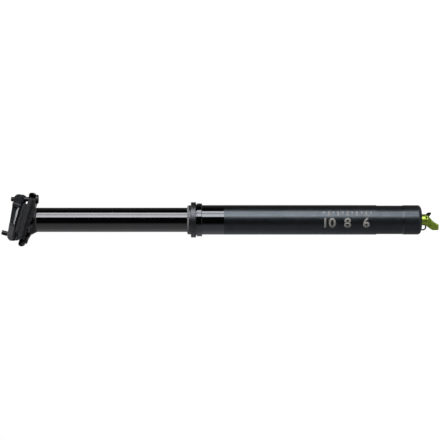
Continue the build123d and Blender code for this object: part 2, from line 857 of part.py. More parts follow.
# Cable bracket: black plate on the clevis flat, with a fin in front and a hook behind
hook_centre = Vector(-hook_behind, 0, cap_end - hook_drop)
plate_near = clevis_flat
with BuildPart() as cable_bracket:
    with BuildSketch(Plane.XZ.offset(-plate_near)):
        with Locations(place(pivot)):
            Circle(lever_hub)
        with Locations(place(hook_centre)):
            Circle(hook_radius + hook_width / 2)
            Circle(hook_radius - hook_width / 2, mode=Mode.SUBTRACT)
        with Locations((-hook_behind, cap_end + hook_radius - running_gap)):
            Rectangle(2 * hook_behind, 2 * hook_radius, mode=Mode.SUBTRACT)
        Polygon(
            (-fin_root, cap_end - running_gap),
            (plate_reach, cap_end - running_gap),
            (plate_reach, pivot.Z),
            (fin_reach, pivot.Z - fin_rise),
            (fin_reach, pivot.Z - fin_drop),
            (fin_reach - fin_edge, pivot.Z - fin_drop),
            (fin_root, pivot.Z - hook_radius),
            (-hook_behind + hook_width, pivot.Z + hook_width),
            (-hook_behind + hook_width, cap_end - hook_drop),
            align=None,
        )
        with Locations(place(pivot)):
            Circle(pivot_diameter / 2 + seat_gap, mode=Mode.SUBTRACT)
    extrude(amount=-bracket_thickness)
finish(cable_bracket, "cable_bracket")

# Lever pin: from the near cheek to its head on the bracket
with BuildPart() as lever_pin:
    near_reach = sqrt((clevis_diameter / 2) ** 2 - pivot_ahead**2) - seat_gap
    far_reach = clevis_flat + bracket_thickness
    with BuildSketch(Plane.XZ.offset(near_reach)):
        with Locations(place(pivot)):
            Circle(pivot_diameter / 2)
    extrude(amount=-(near_reach + far_reach))
    with BuildSketch(Plane.XZ.offset(-far_reach)):
        with Locations(place(pivot)):
            Circle(pivot_head_diameter / 2)
    extrude(amount=-pivot_head_height)
finish(lever_pin, "lever_pin")

# Actuator lever: thin hub in the clevis slot, thick arm with the housing socket in its tip
reach_angle = radians(lever_angle)
arm_angle = radians(lever_arm_angle)
lever_end = pivot - Vector(sin(reach_angle), 0, cos(reach_angle)) * lever_reach
arm_aim = Vector(-sin(arm_angle), 0, -cos(arm_angle))
arm_side = Vector(-cos(arm_angle), 0, sin(arm_angle))
arm_root = lever_end - arm_aim * lever_block
hub_width = clevis_slot_width / 2 - lever_side_gap
hub_shoulder = sin(radians(45))
half_arm = lever_width / 2
tip_z = lever_end.Z - half_arm
with BuildPart() as actuator_lever:
    with BuildSketch(Plane.XZ):
        with Locations(place(pivot)):
            Circle(lever_hub)
        Polygon(
            place(pivot + Vector(0, 0, lever_hub)),
            place(pivot + Vector(-clevis_diameter / 2, 0, lever_hub)),
            place(arm_root + arm_side * half_arm),
            place(arm_root - arm_side * half_arm),
            place(pivot + Vector(lever_hub, 0, -lever_hub) * hub_shoulder),
            align=None,
        )
    extrude(amount=hub_width, both=True)
    with BuildSketch(Plane.XZ):
        Polygon(
            place(arm_root + arm_side * half_arm),
            place(lever_end + arm_side * half_arm),
            (lever_end.X - lever_tip_width / 2, tip_z),
            (lever_end.X + lever_tip_width / 2, tip_z),
            place(lever_end - arm_side * half_arm),
            place(arm_root - arm_side * half_arm - arm_aim * lever_shoulder),
            align=None,
        )
    extrude(amount=lever_thickness / 2, both=True)
    fillet(actuator_lever.edges().filter_by(Axis.Y).group_by(Axis.Z)[0], lever_tip_round)
    near_rim = actuator_lever.faces().sort_by(Axis.Y)[0].edges()
    far_rim = actuator_lever.faces().sort_by(Axis.Y)[-1].edges()
    fillet(near_rim + far_rim, lever_round)
    with BuildSketch(Plane.XZ):
        with Locations(place(pivot)):
            Circle(pivot_diameter / 2 + running_gap)
    extrude(amount=lever_width, both=True, mode=Mode.SUBTRACT)
    out = radians(housing_angle)
    socket_aim = Vector(sin(out), 0, -cos(out))
    socket_mouth = lever_end + socket_aim * (half_arm + overrun)
    with BuildSketch(Plane(origin=socket_mouth, z_dir=-socket_aim)):
        Circle(housing_diameter / 2)
    extrude(amount=housing_depth + overrun, mode=Mode.SUBTRACT)
    with BuildSketch(Plane(origin=socket_mouth, z_dir=-socket_aim)):
        Circle(wire_diameter / 2)
    extrude(amount=4 * lever_width, mode=Mode.SUBTRACT)
finish(actuator_lever, "actuator_lever")

# Valve pin: from the lever's face, through the clevis and the hollow rod, to its head
pin_tip = pivot.Z + lever_hub + running_gap
pin_head = piston_base + rod_stem_length + running_gap
pin_radius = valve_pin_diameter / 2
with BuildPart() as valve_pin:
    with BuildSketch(Plane.XZ):
        with BuildLine():
            Polyline(
                (0, pin_tip),
                (0, pin_head + valve_head_height),
                (valve_head_diameter / 2, pin_head + valve_head_height),
                (valve_head_diameter / 2, pin_head),
                (pin_radius, pin_head),
                (pin_radius, pin_tip + pin_radius),
            )
            CenterArc((0, pin_tip + pin_radius), pin_radius, 270, 90)
        make_face()
    revolve(axis=Axis.Z)
finish(valve_pin, "valve_pin")
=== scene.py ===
import bpy
import math
from mathutils import Matrix, Vector


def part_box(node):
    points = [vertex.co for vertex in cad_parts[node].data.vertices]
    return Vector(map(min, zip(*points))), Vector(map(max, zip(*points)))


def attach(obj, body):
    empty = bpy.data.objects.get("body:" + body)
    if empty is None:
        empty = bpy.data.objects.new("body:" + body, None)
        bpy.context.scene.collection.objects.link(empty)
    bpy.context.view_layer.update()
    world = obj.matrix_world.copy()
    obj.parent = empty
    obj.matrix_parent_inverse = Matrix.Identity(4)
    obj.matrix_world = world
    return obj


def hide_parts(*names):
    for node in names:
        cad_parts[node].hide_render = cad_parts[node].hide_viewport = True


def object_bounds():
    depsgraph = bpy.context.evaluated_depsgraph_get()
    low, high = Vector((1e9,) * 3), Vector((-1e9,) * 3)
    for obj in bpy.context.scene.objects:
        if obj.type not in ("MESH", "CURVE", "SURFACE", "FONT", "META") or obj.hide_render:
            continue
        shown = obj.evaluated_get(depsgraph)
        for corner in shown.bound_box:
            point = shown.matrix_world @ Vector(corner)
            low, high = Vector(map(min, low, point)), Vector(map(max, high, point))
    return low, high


# Dropper seatpost, dressed for the picture. Metres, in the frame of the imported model:
# Z runs up the post to the saddle, +X is the front of the bicycle, and the origin is
# on the axis at the shoulder that rests on the seat tube.
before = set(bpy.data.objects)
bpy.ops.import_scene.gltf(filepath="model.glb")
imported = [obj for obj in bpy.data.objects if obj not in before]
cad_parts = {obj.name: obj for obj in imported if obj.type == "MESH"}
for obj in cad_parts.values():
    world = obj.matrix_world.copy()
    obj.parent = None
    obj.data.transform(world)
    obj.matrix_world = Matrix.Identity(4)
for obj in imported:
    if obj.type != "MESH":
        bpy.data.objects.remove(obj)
cad_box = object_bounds()

# Outer tube and bottom cap: drawn aluminium tube, bead blasted and anodised satin black.
# The cap screws into the tube's foot. The flange and the neck under it are polished
# before anodising, so one material turns from satin to gloss at a height.
NECK_FOOT = -0.0236
NOISE_LOW, NOISE_HIGH = 0.3, 0.7
NOISE_DETAIL = 3.0


def new_finish(name, metallic=0.0):
    """Start a node material and return it with its tree and its main shader."""
    material = bpy.data.materials.new(name)
    material.use_nodes = True
    tree = material.node_tree
    shader = tree.nodes["Principled BSDF"]
    shader.inputs["Metallic"].default_value = metallic
    return material, tree, shader


def feed(tree, socket, source):
    """Link a socket to another node's value, or set it to a plain number or colour."""
    if isinstance(source, bpy.types.NodeSocket):
        tree.links.new(source, socket)
    else:
        socket.default_value = source


def grain(tree, scale, stretch=(1, 1, 1)):
    """Add noise in the piece's own metres, drawn out along an axis by stretch."""
    place = tree.nodes.new("ShaderNodeTexCoord")
    fit = tree.nodes.new("ShaderNodeMapping")
    fit.inputs["Scale"].default_value = stretch
    noise = tree.nodes.new("ShaderNodeTexNoise")
    noise.inputs["Scale"].default_value = scale
    noise.inputs["Detail"].default_value = NOISE_DETAIL
    tree.links.new(place.outputs["Object"], fit.inputs["Vector"])
    tree.links.new(fit.outputs["Vector"], noise.inputs["Vector"])
    return noise.outputs["Fac"]


def spread(tree, source, low, high, start=NOISE_LOW, end=NOISE_HIGH):
    """Turn a noise value into a range, such as low to high roughness."""
    span = tree.nodes.new("ShaderNodeMapRange")
    span.inputs["From Min"].default_value = start
    span.inputs["From Max"].default_value = end
    span.inputs["To Min"].default_value = low
    span.inputs["To Max"].default_value = high
    tree.links.new(source, span.inputs["Value"])
    return span.outputs["Result"]


def tint(tree, source, dark, light):
    """Turn a noise value into a colour between two near shades."""
    ramp = tree.nodes.new("ShaderNodeValToRGB")
    for stop, position, shade in zip(
        ramp.color_ramp.elements, (NOISE_LOW, NOISE_HIGH), (dark, light)
    ):
        stop.position = position
        stop.color = (*shade, 1)
    tree.links.new(source, ramp.inputs["Fac"])
    return ramp.outputs["Color"]


def reckon(tree, operation, first, second=0.0):
    """Add one step of arithmetic on numbers or on the values of other nodes."""
    step = tree.nodes.new("ShaderNodeMath")
    step.operation = operation
    feed(tree, step.inputs[0], first)
    feed(tree, step.inputs[1], second)
    return step.outputs[0]


def mix(tree, kind, share, first, second):
    """Go from one value or colour to another as share goes from 0 to 1."""
    blend = tree.nodes.new("ShaderNodeMix")
    blend.data_type = kind
    feed(tree, blend.inputs["Factor"], share)
    feed(tree, blend.inputs["A"], first)
    feed(tree, blend.inputs["B"], second)
    return blend.outputs["Result"]


def dress(material, *names):
    """Give CAD pieces a finish."""
    for name in names:
        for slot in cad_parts[name].material_slots:
            slot.material = material


satin_black, tree, shader = new_finish("satin_black_anodised", metallic=1.0)
place = tree.nodes.new("ShaderNodeTexCoord")
split = tree.nodes.new("ShaderNodeSeparateXYZ")
tree.links.new(place.outputs["Object"], split.inputs["Vector"])
polished = reckon(tree, "GREATER_THAN", split.outputs["Z"], NECK_FOOT)
satin = tint(tree, grain(tree, 90), (0.058, 0.066, 0.075), (0.068, 0.076, 0.086))
gloss = tint(tree, grain(tree, 60), (0.088, 0.090, 0.099), (0.096, 0.098, 0.108))
feed(tree, shader.inputs["Base Color"], mix(tree, "RGBA", polished, satin, gloss))
satin = spread(tree, grain(tree, 140), 0.29, 0.33)
gloss = spread(tree, grain(tree, 240), 0.06, 0.09)
feed(tree, shader.inputs["Roughness"], mix(tree, "FLOAT", polished, satin, gloss))
dress(satin_black, "outer_tube", "bottom_cap")

# Depth scale on the outer tube: laser marked in grey, in centimetres above the post's foot,
# for finding the saddle height again. A line each 5 mm, a longer one each centimetre, and
# a number each second centimetre. The marks are two hundredths of a millimetre thick.
POST_RADIUS = 0.0158
POST_FOOT = -0.2350
MARK_LIFT = 0.00002
MARK_THICK = 0.00002
STRIP_WIDTH = 0.001
LINE_COUNT = 11
LINE_START = 0.055
LINE_STEP = 0.005
LINE_TOP = 0.0097
LINE_WIDTH = 0.0014
SHORT_LINE, LONG_LINE = 0.0030, 0.0056
NUMBERS = (10, 8, 6)
CENTIMETRE = 0.01
DIGIT_SIZE = 0.0150
DIGIT_BOLD = 0.0004
DIGIT_MIDDLE = -0.0040


def colour_by_grain(tree, shader, scale, dark, light, stretch=(1, 1, 1)):
    """Let the base colour wander between two near shades."""
    shade = tint(tree, grain(tree, scale, stretch), dark, light)
    feed(tree, shader.inputs["Base Color"], shade)


def roughen_by_grain(tree, shader, scale, low, high, stretch=(1, 1, 1)):
    """Let the roughness wander between two values."""
    rough = spread(tree, grain(tree, scale, stretch), low, high)
    feed(tree, shader.inputs["Roughness"], rough)


def take(piece):
    """Select one piece alone and make it the active one."""
    bpy.ops.object.select_all(action="DESELECT")
    piece.select_set(True)
    bpy.context.view_layer.objects.active = piece


def face_outward():
    """Turn all faces of the active piece outward."""
    bpy.ops.object.mode_set(mode="EDIT")
    bpy.ops.mesh.select_all(action="SELECT")
    bpy.ops.mesh.normals_make_consistent(inside=False)
    bpy.ops.object.mode_set(mode="OBJECT")


def slice_mark(piece, low, high):
    """Cut a flat mark into strips, so that it can follow the tube's curve."""
    count = round((high - low) / STRIP_WIDTH)
    take(piece)
    bpy.ops.object.mode_set(mode="EDIT")
    for step in range(1, count):
        bpy.ops.mesh.select_all(action="SELECT")
        cut = low + (high - low) * step / count
        bpy.ops.mesh.bisect(plane_co=(cut, 0, 0), plane_no=(1, 0, 0))
    bpy.ops.object.mode_set(mode="OBJECT")


def wrap_on_tube(piece):
    """Lay a flat mark, drawn in X (round the tube) and Z, on the tube's near side."""
    radius = POST_RADIUS + MARK_LIFT
    for vertex in piece.data.vertices:
        turn = vertex.co.x / radius
        vertex.co = (radius * math.sin(turn), -radius * math.cos(turn), vertex.co.z)
    skin = piece.modifiers.new("skin", "SOLIDIFY")
    skin.thickness = MARK_THICK
    skin.offset = 1.0
    bpy.ops.object.modifier_apply(modifier=skin.name)
    face_outward()
    piece.data.materials.clear()
    piece.data.materials.append(mark_grey)
    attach(piece, "lower")


mark_grey, tree, shader = new_finish("laser_mark_grey")
colour_by_grain(tree, shader, 900, (0.250, 0.244, 0.230), (0.300, 0.293, 0.277))
roughen_by_grain(tree, shader, 1200, 0.46, 0.56)

lines = []
for step in range(LINE_COUNT):
    height = POST_FOOT + LINE_START + LINE_STEP * step
    length = SHORT_LINE if step % 2 == 0 else LONG_LINE
    bpy.ops.object.select_all(action="DESELECT")
    bpy.ops.mesh.primitive_plane_add(size=1, rotation=(math.radians(90), 0, 0))
    line = bpy.context.object
    line.scale = (length, LINE_WIDTH, 1)
    line.location = (LINE_TOP - length / 2, 0, height)
    bpy.ops.object.transform_apply(location=True, rotation=True, scale=True)
    lines.append(line)
bpy.ops.object.select_all(action="DESELECT")
for line in lines:
    line.select_set(True)
bpy.context.view_layer.objects.active = lines[0]
bpy.ops.object.join()
depth_lines = bpy.context.object
depth_lines.name = "depth_lines"
slice_mark(depth_lines, 0.0, 0.010)
wrap_on_tube(depth_lines)

for number in NUMBERS:
    height = POST_FOOT + CENTIMETRE * number
    bpy.ops.object.select_all(action="DESELECT")
    bpy.ops.object.text_add()
    mark = bpy.context.object
    mark.data.body = str(number)
    mark.data.size = DIGIT_SIZE
    mark.data.offset = DIGIT_BOLD
    mark.data.align_x = "CENTER"
    mark.data.align_y = "CENTER"
    bpy.ops.object.convert(target="MESH")
    mark = bpy.context.object
    mark.name = f"depth_number_{number}"
    for vertex in mark.data.vertices:
        vertex.co = (vertex.co.y + DIGIT_MIDDLE, 0, height - vertex.co.x)
    slice_mark(mark, -0.012, 0.002)
    wrap_on_tube(mark)

# Moving stanchion: aluminium tube, ground, polished and hard anodised deep gloss black.
# It slides in the bushings of the outer tube.
gloss_black, tree, shader = new_finish("gloss_black_anodised", metallic=1.0)
colour_by_grain(tree, shader, 60, (0.095, 0.095, 0.100), (0.105, 0.105, 0.110))
roughen_by_grain(tree, shader, 240, 0.05, 0.09, stretch=(1, 1, 0.2))
dress(gloss_black, "stanchion", "seat_head")

# Seat head: one forging in the stanchion's finish, bonded into it. Its flanks swell out of
# the round tube, so a swelling body trims the plain node's square corners, and only the two
# bolt lugs, which are slimmer, keep their own shape. Each station of that body has its
# height, reach to the front and to the rear, half width, and how square the front is.
OUTLINE_POINTS = 128
ELLIPSE = 2.0
HEAD_STATIONS = (
    (0.1600, 0.0132, 0.0132, 0.0132, 2.0),
    (0.1764, 0.0132, 0.0132, 0.0132, 2.0),
    (0.1765, 0.0130, 0.0130, 0.0130, 2.0),
    (0.1781, 0.0133, 0.0138, 0.0131, 2.0),
    (0.1792, 0.0160, 0.0144, 0.0133, 2.6),
    (0.1804, 0.0205, 0.0150, 0.0134, 4.0),
    (0.1837, 0.0225, 0.0167, 0.0135, 4.0),
    (0.2000, 0.0230, 0.0170, 0.0135, 4.0),
)
# Room for the lugs, from a rear to a front end and from a height up. The front one starts
# at the shelf, and the rear one higher up, where the flare ends.
LUG_ROOMS = ((0.0, 0.040, 0.1700), (-0.040, 0.001, 0.1838))
LUG_HALF_WIDTH = 0.0081
HEAD_TOP = 0.2050
MERGE_DISTANCE = 0.000001
SORT_POINT = (0.031, 0.017, 0.150)
FLAT_WITHIN = math.radians(0.4)
CREASE_FROM = math.radians(28)
EVENING_WEIGHT = 50


def combine(piece, other, operation):
    """Join a piece with another body, or keep what they share, and drop the other."""
    take(piece)
    joint = piece.modifiers.new("combine", "BOOLEAN")
    joint.operation = operation
    joint.solver = "EXACT"
    joint.object = other
    bpy.ops.object.modifier_apply(modifier=joint.name)
    bpy.data.objects.remove(other)


bpy.ops.object.select_all(action="DESELECT")
bpy.ops.mesh.primitive_circle_add(vertices=OUTLINE_POINTS, radius=1, fill_type="NGON")
swell = bpy.context.object
bpy.ops.object.mode_set(mode="EDIT")
bpy.ops.mesh.select_all(action="SELECT")
for station in HEAD_STATIONS[1:]:
    bpy.ops.mesh.extrude_region_move(TRANSFORM_OT_translate={"value": (0, 0, 1)})
bpy.ops.object.mode_set(mode="OBJECT")
for vertex in swell.data.vertices:
    height, front, rear, half_width, square = HEAD_STATIONS[round(vertex.co.z)]
    reach, power = (front, square) if vertex.co.x > 0 else (rear, ELLIPSE)
    along = math.copysign(abs(vertex.co.x) ** (2 / power), vertex.co.x)
    across = math.copysign(abs(vertex.co.y) ** (2 / power), vertex.co.y)
    vertex.co = (reach * along, half_width * across, height)
face_outward()

for low_x, high_x, low_z in LUG_ROOMS:
    bpy.ops.object.select_all(action="DESELECT")
    bpy.ops.mesh.primitive_cube_add(
        size=1, location=((low_x + high_x) / 2, 0, (low_z + HEAD_TOP) / 2)
    )
    slab = bpy.context.object
    slab.scale = (high_x - low_x, 2 * LUG_HALF_WIDTH, HEAD_TOP - low_z)
    bpy.ops.object.transform_apply(location=True, rotation=True, scale=True)
    combine(swell, slab, "UNION")

forging = bpy.data.objects.new("head_forging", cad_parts["seat_head"].data.copy())
bpy.context.collection.objects.link(forging)
take(forging)
bpy.ops.object.mode_set(mode="EDIT")
bpy.ops.mesh.select_all(action="SELECT")
bpy.ops.mesh.remove_doubles(threshold=MERGE_DISTANCE)
bpy.ops.object.mode_set(mode="OBJECT")
combine(forging, swell, "INTERSECT")

# The cut gives its faces in no fixed order. They are sorted by their distance from a point
# beside the head, for the same result each run, and leaving edit mode keeps that order.
bpy.context.scene.cursor.location = SORT_POINT
bpy.ops.object.mode_set(mode="EDIT")
bpy.ops.mesh.select_all(action="SELECT")
bpy.ops.mesh.sort_elements(type="CURSOR_DISTANCE", elements={"VERT", "EDGE", "FACE"})
bpy.ops.object.mode_set(mode="OBJECT")

# The cut faces are long and thin, so flat ones are joined and the shading is evened out.
bpy.ops.object.mode_set(mode="EDIT")
bpy.ops.mesh.select_all(action="SELECT")
bpy.ops.mesh.dissolve_limited(angle_limit=FLAT_WITHIN, delimit={"NORMAL"})
bpy.ops.mesh.quads_convert_to_tris(quad_method="BEAUTY", ngon_method="BEAUTY")
bpy.ops.mesh.normals_make_consistent(inside=False)
bpy.ops.object.mode_set(mode="OBJECT")
bpy.ops.object.shade_smooth_by_angle(angle=CREASE_FROM)
even = forging.modifiers.new("even", "WEIGHTED_NORMAL")
even.keep_sharp = True
even.weight = EVENING_WEIGHT
bpy.ops.object.modifier_apply(modifier=even.name)
forging.data.materials.clear()
forging.data.materials.append(gloss_black)
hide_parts("seat_head")
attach(forging, "upper")

# Seal collar: turned aluminium ring with chamfered edges, blasted and anodised matte black.
# It screws onto the top of the outer tube and holds the wiper seal down.


def relief(tree, source, depth, strength):
    """Raise a noise value as fine surface relief, with depth in metres."""
    bump = tree.nodes.new("ShaderNodeBump")
    bump.inputs["Strength"].default_value = strength
    bump.inputs["Distance"].default_value = depth
    tree.links.new(source, bump.inputs["Height"])
    return bump.outputs["Normal"]


matte_black, tree, shader = new_finish("matte_black_anodised", metallic=1.0)
colour_by_grain(tree, shader, 200, (0.076, 0.077, 0.084), (0.094, 0.095, 0.103))
roughen_by_grain(tree, shader, 260, 0.36, 0.42)
feed(tree, shader.inputs["Normal"], relief(tree, grain(tree, 4000), 0.00001, 0.5))
dress(matte_black, "seal_collar")

# Wiper seal: pale grey moulded rubber. The collar holds its foot down, and its lip wipes
# the stanchion.
seal_grey, tree, shader = new_finish("seal_grey_elastomer")
colour_by_grain(tree, shader, 500, (0.195, 0.195, 0.202), (0.215, 0.215, 0.222))
shader.inputs["Roughness"].default_value = 0.6
shader.inputs["Specular IOR Level"].default_value = 0.3
dress(seal_grey, "wiper_seal")

# Saddle clamp cradle: forged aluminium, tumbled and anodised black. It rocks on the head.
# The forging leaves every edge a little round, which the light finds.
EDGE_ROUND = 0.0004
EDGE_SAMPLES = 6


def soften_edges(tree, shader):
    """Let the light find a small round on every sharp edge."""
    edge = tree.nodes.new("ShaderNodeBevel")
    edge.samples = EDGE_SAMPLES
    edge.inputs["Radius"].default_value = EDGE_ROUND
    feed(tree, shader.inputs["Normal"], edge.outputs["Normal"])


clamp_black, tree, shader = new_finish("clamp_black_forged", metallic=1.0)
colour_by_grain(tree, shader, 260, (0.078, 0.079, 0.087), (0.098, 0.099, 0.108))
roughen_by_grain(tree, shader, 300, 0.38, 0.44)
soften_edges(tree, shader)
dress(clamp_black, "rail_cradle")

# Upper clamps: the same forging, with a painted highlight along the ledge under the recess on
# the outside. The painted highlight fades towards the rear lobe, and that lobe is painted
# paler, as painted light. Places are taken along, across and above the saddle rails.
RAIL_HEIGHT = 0.19486
RAIL_TILT = math.radians(16)
LEDGE_IN, LEDGE_OUT = 0.0235, 0.0269
LEDGE_LOW, LEDGE_HIGH = 0.0020, 0.0044
LEDGE_REAR, LEDGE_FRONT = -0.0056, 0.0129
LEDGE_HIGHLIGHT_FULL_FROM = 0.009
LEDGE_HIGHLIGHT_LEAST = 0.35
LEDGE_HIGHLIGHT_COLOUR = (0.72, 0.73, 0.76, 1)
LEDGE_HIGHLIGHT_METALLIC = 0.2
LOBE_PAINTED_LIGHT_FADE = 0.004


def between(tree, source, low, high):
    """Give 1 where a value lies between two limits, and 0 elsewhere."""
    over = reckon(tree, "GREATER_THAN", source, low)
    under = reckon(tree, "LESS_THAN", source, high)
    return reckon(tree, "MULTIPLY", over, under)


plate_black_painted_light, tree, shader = new_finish("clamp_black_painted_highlight")
place = tree.nodes.new("ShaderNodeTexCoord")
drop = tree.nodes.new("ShaderNodeMapping")
drop.inputs["Location"].default_value = (0, 0, -RAIL_HEIGHT)
lean = tree.nodes.new("ShaderNodeMapping")
lean.inputs["Rotation"].default_value = (0, -RAIL_TILT, 0)
split = tree.nodes.new("ShaderNodeSeparateXYZ")
tree.links.new(place.outputs["Object"], drop.inputs["Vector"])
tree.links.new(drop.outputs["Vector"], lean.inputs["Vector"])
tree.links.new(lean.outputs["Vector"], split.inputs["Vector"])
along, above = split.outputs["X"], split.outputs["Z"]
aside = reckon(tree, "ABSOLUTE", split.outputs["Y"])
# Painted highlight: a pale, less metallic band on the ledge stands in for the soft box's
# reflection, and it fades towards the rear.
ledge_highlight = reckon(
    tree,
    "MULTIPLY",
    between(tree, aside, LEDGE_IN, LEDGE_OUT),
    between(tree, above, LEDGE_LOW, LEDGE_HIGH),
)
ledge_highlight = reckon(tree, "MULTIPLY", ledge_highlight, between(tree, along, LEDGE_REAR, LEDGE_FRONT))
highlight_fade = spread(tree, along, LEDGE_HIGHLIGHT_LEAST, 1.0, LEDGE_REAR, LEDGE_HIGHLIGHT_FULL_FROM)
ledge_highlight = reckon(tree, "MULTIPLY", ledge_highlight, highlight_fade)
# Painted light: the rear lobe is painted paler than the rest of the plate, as if more light
# fell on it.
off_lobe_painted_light = spread(tree, along, 0.0, 1.0, LEDGE_REAR - LOBE_PAINTED_LIGHT_FADE, LEDGE_REAR)
lobe_painted_light = tint(tree, grain(tree, 260), (0.185, 0.186, 0.198), (0.220, 0.221, 0.234))
web = tint(tree, grain(tree, 260), (0.050, 0.052, 0.058), (0.066, 0.068, 0.075))
skin = mix(tree, "RGBA", off_lobe_painted_light, lobe_painted_light, web)
feed(tree, shader.inputs["Base Color"], mix(tree, "RGBA", ledge_highlight, skin, LEDGE_HIGHLIGHT_COLOUR))
feed(tree, shader.inputs["Metallic"], spread(tree, ledge_highlight, 1.0, LEDGE_HIGHLIGHT_METALLIC, 0.0, 1.0))
roughen_by_grain(tree, shader, 300, 0.36, 0.42)
soften_edges(tree, shader)
dress(plate_black_painted_light, "clamp_plate_left", "clamp_plate_right")

# Bolts, cross nuts, half-barrel washers and the cable bracket: steel with a black oxide
# coat. The bolts pass up through the head's lugs into the nuts that turn in the clamps.
oxide_black, tree, shader = new_finish("black_oxide_steel", metallic=1.0)
colour_by_grain(tree, shader, 400, (0.040, 0.040, 0.043), (0.058, 0.058, 0.062))
roughen_by_grain(tree, shader, 500, 0.30, 0.44)
dress(
    oxide_black, "front_barrel_nut", "rear_barrel_nut", "front_bolt", "rear_bolt",
    "front_washer", "rear_washer", "cable_bracket",
)

# Bolt threads: rolled M5, on the free ends that stand out of the cross nuts. Each is a
# three-cornered ridge wound up along its bolt from a pitch above the nut to the tip.
THREAD_PITCH = 0.0008
THREAD_ROOT, THREAD_CREST = 0.00246, 0.00261
THREAD_CORNERS = (
    (THREAD_ROOT, 0.0),
    (THREAD_CREST, 0.4 * THREAD_PITCH),
    (THREAD_ROOT, 0.8 * THREAD_PITCH),
)
THREAD_STEPS = 24
TIP_CHAMFER = 0.0007
NUT_RADIUS = 0.0040
REAR_BOLT_LEAN = math.radians(16)

for end, lean_angle in (("front", 0.0), ("rear", REAR_BOLT_LEAN)):
    low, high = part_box(f"{end}_barrel_nut")
    centre = (Vector(low) + Vector(high)) / 2
    aim = Vector((math.sin(lean_angle), 0, math.cos(lean_angle)))
    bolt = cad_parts[f"{end}_bolt"]
    tip = max((vertex.co - centre).dot(aim) for vertex in bolt.data.vertices)
    start = NUT_RADIUS + THREAD_PITCH
    bpy.ops.object.select_all(action="DESELECT")
    bpy.ops.mesh.primitive_circle_add(vertices=3, radius=1)
    thread = bpy.context.object
    thread.name = f"{end}_thread"
    for corner, (across, up) in zip(thread.data.vertices, THREAD_CORNERS):
        corner.co = (across, 0, up)
    coil = thread.modifiers.new("coil", "SCREW")
    coil.screw_offset = THREAD_PITCH
    coil.iterations = int((tip - TIP_CHAMFER - start) / THREAD_PITCH)
    coil.steps = coil.render_steps = THREAD_STEPS
    bpy.ops.object.modifier_apply(modifier=coil.name)
    bpy.ops.object.mode_set(mode="EDIT")
    bpy.ops.mesh.select_all(action="SELECT")
    bpy.ops.mesh.remove_doubles(threshold=MERGE_DISTANCE)
    bpy.ops.mesh.select_all(action="SELECT")
    bpy.ops.mesh.fill_holes(sides=3)
    bpy.ops.mesh.normals_make_consistent(inside=False)
    bpy.ops.object.mode_set(mode="OBJECT")
    thread.rotation_euler = (0, lean_angle, 0)
    thread.location = centre + aim * start
    bpy.ops.object.transform_apply(location=True, rotation=True, scale=True)
    thread.data.materials.append(oxide_black)
    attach(thread, f"{end}_screw")

# Clevis, lever and its pin: machined aluminium, anodised bright green. The clevis stands
# under the bottom cap, and the lever swings in its slot on the pin.
green, tree, shader = new_finish("green_anodised", metallic=1.0)
colour_by_grain(tree, shader, 300, (0.36, 0.50, 0.075), (0.42, 0.57, 0.10))
roughen_by_grain(tree, shader, 600, 0.26, 0.36)
soften_edges(tree, shader)
dress(green, "actuator_clevis", "actuator_lever", "lever_pin")

# Rod, cartridge and valve pin: bright steel, ground lengthways, all inside the tubes.
ground_steel, tree, shader = new_finish("ground_steel", metallic=1.0)
colour_by_grain(
    tree, shader, 200, (0.55, 0.55, 0.56), (0.62, 0.62, 0.63), stretch=(1, 1, 20)
)
roughen_by_grain(tree, shader, 900, 0.18, 0.3, stretch=(1, 1, 30))
dress(ground_steel, "piston_rod", "cartridge_tube", "valve_pin")

# Pistons, plug, seal head and ring nut: plain turned aluminium, all inside the cartridge
# or at its ends, with fine tool marks round the axis.
turned, tree, shader = new_finish("turned_aluminium", metallic=1.0)
colour_by_grain(
    tree, shader, 300, (0.66, 0.66, 0.67), (0.74, 0.74, 0.75), stretch=(1, 1, 30)
)
roughen_by_grain(tree, shader, 900, 0.25, 0.4, stretch=(1, 1, 30))
dress(turned, "cartridge_nut", "seal_head", "cartridge_plug", "main_piston", "floating_piston")

# Rings, seals and bumper: black moulded rubber, each in its groove or on the rod.
rubber, tree, shader = new_finish("black_rubber")
colour_by_grain(tree, shader, 700, (0.018, 0.018, 0.018), (0.032, 0.032, 0.032))
shader.inputs["Roughness"].default_value = 0.65
dress(
    rubber, "cap_ring", "piston_seal", "topout_bumper", "rod_seal", "seal_head_ring",
    "floating_seal",
)

# Foam ring: open felt-like foam, soaked in oil, under the wiper.
foam, tree, shader = new_finish("oiled_foam")
colour_by_grain(tree, shader, 1500, (0.16, 0.15, 0.11), (0.30, 0.29, 0.22))
feed(tree, shader.inputs["Normal"], relief(tree, grain(tree, 1500), 0.0002, 0.8))
shader.inputs["Roughness"].default_value = 0.8
dress(foam, "foam_ring")

# Bushings: tan bearing polymer, one in the outer tube's mouth and a split one in a groove
# of the stanchion's foot.
polymer, tree, shader = new_finish("bearing_polymer")
colour_by_grain(tree, shader, 900, (0.20, 0.17, 0.12), (0.27, 0.23, 0.17))
shader.inputs["Roughness"].default_value = 0.45
dress(polymer, "upper_bushing", "lower_bushing")

# Guide keys: drawn brass bars that sit in pockets of the stanchion and run in the outer
# tube's keyways, so that the post can't turn.
brass, tree, shader = new_finish("key_brass", metallic=1.0)
colour_by_grain(tree, shader, 500, (0.72, 0.52, 0.20), (0.80, 0.60, 0.26))
roughen_by_grain(tree, shader, 900, 0.2, 0.34)
dress(brass, "guide_keys")

# Floor: a pale round, well below the post so that it throws little light back at its foot.
# The camera sees it near white, and it keeps the post's shadow.
FLOOR_DROP = 0.18
FLOOR_RADIUS = 4.0
FLOOR_GREY = 0.5
FLOOR_GLOW = 0.92

